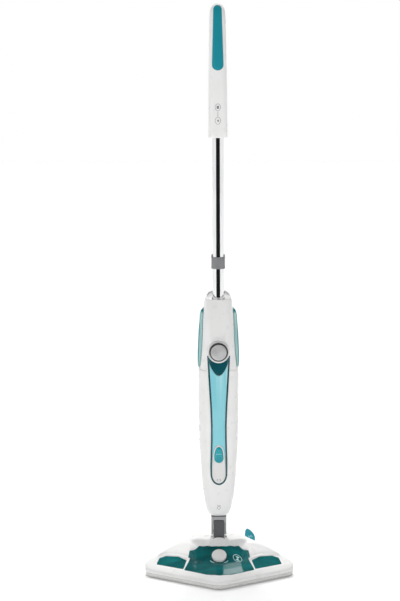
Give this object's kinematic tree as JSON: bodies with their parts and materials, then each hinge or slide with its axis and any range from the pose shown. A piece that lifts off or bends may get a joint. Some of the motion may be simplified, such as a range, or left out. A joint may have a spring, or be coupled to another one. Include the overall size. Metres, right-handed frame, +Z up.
{
  "type": "steam mop",
  "caption": "Upright steam mop: triangular floor head on a two-axis neck, tapered steam unit with rear water tank, chrome pole and curved handle.",
  "frame": {"origin": "on the floor under the pole's axis, on the mop pad's underside", "axes": "+Z up along the pole, -Y to the front, +X to the right seen from the front"},
  "size_m": [0.3084, 0.2197, 1.1795],
  "materials": {
    "white": "glossy moulded, white",
    "soft_teal": "soft-touch, teal",
    "dark_teal": "glossy, dark teal",
    "aqua": "glossy, aqua",
    "window": "clear, tinted teal",
    "tank": "clear, tinted light teal",
    "teal": "satin, teal",
    "chrome": "polished",
    "silver": "satin, silver",
    "grey": "satin, mid grey",
    "dark_grey": "satin, dark grey",
    "pad": "microfibre pile, white",
    "tab": "woven, teal",
    "steel": "plain",
    "boiler": "die cast",
    "rubber": "matt, black",
    "hose": "silicone, cream",
    "board": "circuit board, green"
  },
  "bodies": {
    "head": {"head_shell": "white", "head_base": "dark_grey", "steam_manifold": "dark_grey", "middle_window": "window", "right_window": "window", "left_window": "window", "mop_pad": "pad", "pad_tab": "tab", "pad_tab_band": "pad", "scent_cup": "dark_grey", "lower_fork": "dark_grey", "neck_hose_lower": "hose"},
    "knob": {"scent_knob": "white"},
    "cross": {"neck_cross": "dark_grey", "pitch_pin_left": "steel", "pitch_pin_right": "steel", "roll_pin_front": "steel", "roll_pin_rear": "steel"},
    "fork": {"upper_fork": "grey", "fork_cover": "dark_grey", "neck_spigot": "grey", "neck_seal": "rubber", "neck_hose_upper": "hose"},
    "unit": {"front_shell": "white", "rear_shell": "white", "insert_frame": "dark_teal", "insert_panel": "aqua", "button_plate": "white", "dial_bezel": "white", "flow_valve": "dark_grey", "button_spring": "steel", "outlet_socket": "dark_grey", "steam_pipe": "hose", "boiler": "boiler", "thermostat": "steel", "pump": "dark_grey", "pump_mount": "rubber", "water_hose": "hose", "feed_hose": "hose", "control_board": "board", "tank_seat": "rubber", "pole_socket": "grey", "carry_handle": "white", "lower_cord_hook": "grey", "cable_gland": "dark_grey", "rear_screw_1": "steel", "rear_screw_2": "steel"},
    "dial": {"steam_dial": "silver"},
    "release": {"release_button": "teal", "release_latch": "grey"},
    "tank": {"water_tank": "tank"},
    "cap": {"tank_cap": "teal"},
    "latch": {"pole_latch": "grey"},
    "pole": {"pole_tube": "chrome", "handle_front": "white", "handle_rear": "white", "grip_insert": "soft_teal", "handle_screw": "steel"},
    "clip": {"cord_clip": "grey"},
    "hook": {"upper_cord_hook": "grey"}
  },
  "joints": [
    {"name": "neck_roll", "type": "hinge", "parent": "head", "child": "cross", "pos_m": [0, 0, 0.084], "axis": [0, 1, 0], "range_deg": [-30, 30]},
    {"name": "neck_pitch", "type": "hinge", "parent": "cross", "child": "fork", "pos_m": [0, 0, 0.084], "axis": [-1, 0, 0], "range_deg": [0, 75], "deforming": ["neck_hose_upper"]},
    {"name": "unit_lift", "type": "slide", "parent": "fork", "child": "unit", "axis": [0, 0, 1], "range_m": [0, 0.045]},
    {"name": "tank_slide", "type": "slide", "parent": "unit", "child": "tank", "axis": [0, 1, 0], "range_m": [0, 0.06]},
    {"name": "cap_open", "type": "hinge", "parent": "tank", "child": "cap", "pos_m": [0, 0.0624, 0.541], "axis": [1, 0, 0], "range_deg": [0, 110]},
    {"name": "dial_turn", "type": "hinge", "parent": "unit", "child": "dial", "pos_m": [0, -0.045, 0.4725], "axis": [0, -1, 0], "range_deg": [0, 270]},
    {"name": "release_press", "type": "slide", "parent": "unit", "child": "release", "axis": [0, 1, 0], "range_m": [0, 0.003], "stiffness_N_per_m": 800, "springref_m": -0.001, "deforming": ["button_spring"]},
    {"name": "pole_latch_press", "type": "slide", "parent": "unit", "child": "latch", "axis": [0, -1, 0], "range_m": [0, 0.0025], "stiffness_N_per_m": 600, "springref_m": -0.001},
    {"name": "pole_lift", "type": "slide", "parent": "unit", "child": "pole", "axis": [0, 0, 1], "range_m": [0, 0.06]},
    {"name": "clip_turn", "type": "hinge", "parent": "pole", "child": "clip", "pos_m": [0, 0, 0.652], "axis": [0, 0, 1], "range_deg": [-90, 90]},
    {"name": "upper_hook_turn", "type": "hinge", "parent": "pole", "child": "hook", "pos_m": [0, 0.016, 0.936], "axis": [0, 1, 0], "range_deg": [0, 180]},
    {"name": "scent_knob_turn", "type": "hinge", "parent": "head", "child": "knob", "pos_m": [0, -0.047, 0.04168], "axis": [0, -0.5697, 0.8218], "range_deg": [0, 90]}
  ]
}
